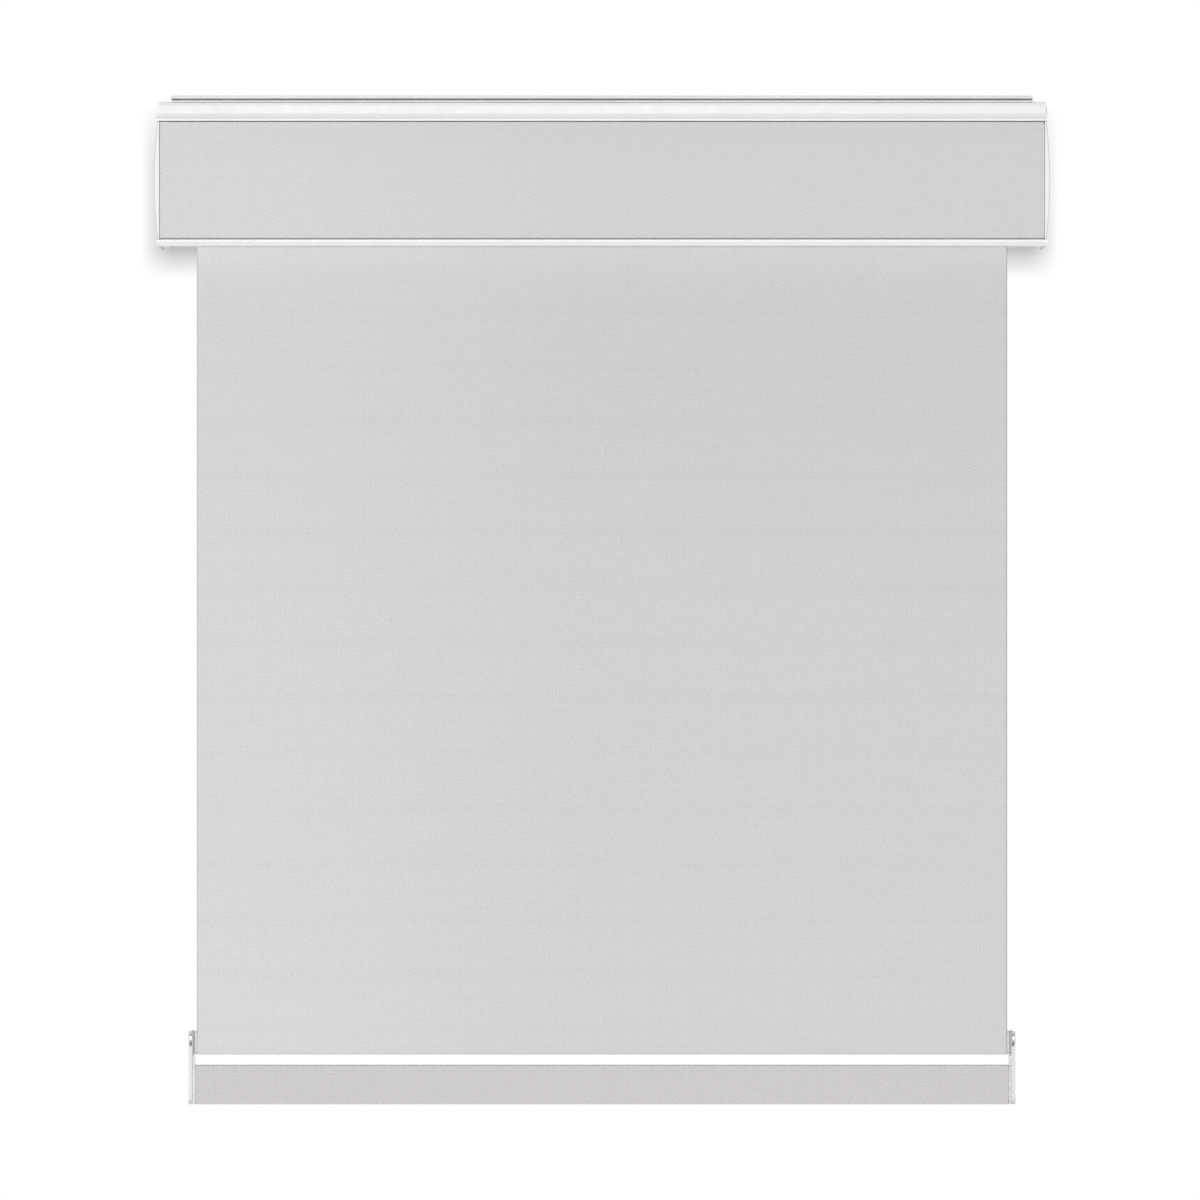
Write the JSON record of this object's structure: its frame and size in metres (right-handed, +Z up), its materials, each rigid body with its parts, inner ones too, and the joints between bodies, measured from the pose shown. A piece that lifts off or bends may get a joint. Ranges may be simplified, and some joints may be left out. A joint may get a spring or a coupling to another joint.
{
  "type": "roller blind",
  "caption": "Cordless cassette roller blind: a spring roller in a fabric-faced head cassette, a woven fabric panel and a fabric-covered bottom rail hung from the hem bar.",
  "frame": {"origin": "centre of the mounting rail's wall face, so the wall is the plane y = 0 and the blind stands in front of it at negative y", "axes": "+Y into the wall, +X to the right for a person facing the blind, +Z up"},
  "size_m": [0.716, 0.097, 0.8077],
  "materials": {
    "white_coated_aluminium": "satin white powder coat",
    "mill_aluminium": "drawn, clear anodised",
    "white_plastic": "satin moulded",
    "frosted_plastic": "frosted moulded",
    "grey_plastic": "moulded",
    "dark_rubber": "matt",
    "plated_steel": "zinc plated",
    "polished_steel": "polished",
    "spring_steel": "drawn wire and strip",
    "insert_fabric": "pale grey basket weave",
    "panel_fabric": "pale grey basket weave",
    "cover_fabric": "pale grey basket weave"
  },
  "bodies": {
    "headrail": {"mounting_rail": "mill_aluminium", "mounting_clip_left": "spring_steel", "mounting_clip_middle": "spring_steel", "mounting_clip_right": "spring_steel", "head_profile": "white_coated_aluminium", "fascia": "white_coated_aluminium", "fascia_insert": "insert_fabric", "end_cap_left": "white_plastic", "end_cap_right": "white_plastic", "end_bracket_left": "plated_steel", "end_bracket_right": "plated_steel", "bracket_screw_left_upper": "plated_steel", "bracket_screw_left_lower": "plated_steel", "bracket_screw_right_upper": "plated_steel", "bracket_screw_right_lower": "plated_steel", "spring_shaft": "plated_steel", "spring_anchor": "grey_plastic", "shaft_retainer": "spring_steel", "idle_pin_spring": "spring_steel", "fabric_panel": "panel_fabric"},
    "roller": {"roller_tube": "mill_aluminium", "fixing_strip": "grey_plastic", "fabric_roll": "panel_fabric", "torsion_spring": "spring_steel", "spring_drive_plug": "grey_plastic", "spring_end_plug": "grey_plastic", "idle_plug": "grey_plastic"},
    "hanging_rail": {"hem_pocket": "panel_fabric", "hem_bar": "mill_aluminium", "hem_plug_left": "frosted_plastic", "hem_plug_right": "frosted_plastic", "hem_washer_left": "dark_rubber", "hem_washer_right": "dark_rubber", "bottom_rail_cover": "cover_fabric", "bottom_rail": "mill_aluminium", "weight_bar": "plated_steel", "rail_end_cap_left": "frosted_plastic", "rail_end_cap_right": "frosted_plastic", "rail_cap_pin_left": "polished_steel", "rail_cap_pin_right": "polished_steel", "rail_cap_screw_left": "plated_steel", "rail_cap_screw_right": "plated_steel"},
    "sprung_pin": {"idle_pin": "plated_steel"}
  },
  "joints": [
    {"name": "rail_lift", "type": "slide", "parent": "headrail", "child": "hanging_rail", "axis": [0, 0, 1], "range_m": [0, 0.62], "deforming": ["fabric_panel"]},
    {"name": "roller_spin", "type": "hinge", "parent": "headrail", "child": "roller", "pos_m": [0, -0.058, -0.0437], "axis": [-1, 0, 0], "range_deg": [0, 1640]},
    {"name": "idle_pin_slide", "type": "slide", "parent": "headrail", "child": "sprung_pin", "axis": [-1, 0, 0], "range_m": [0, 0.006], "stiffness_N_per_m": 800, "springref_m": -0.003, "deforming": ["idle_pin_spring"]}
  ],
  "couplings": [
    {"joint": "roller_spin", "follows": "rail_lift", "rad_per_m": 45.662}
  ]
}
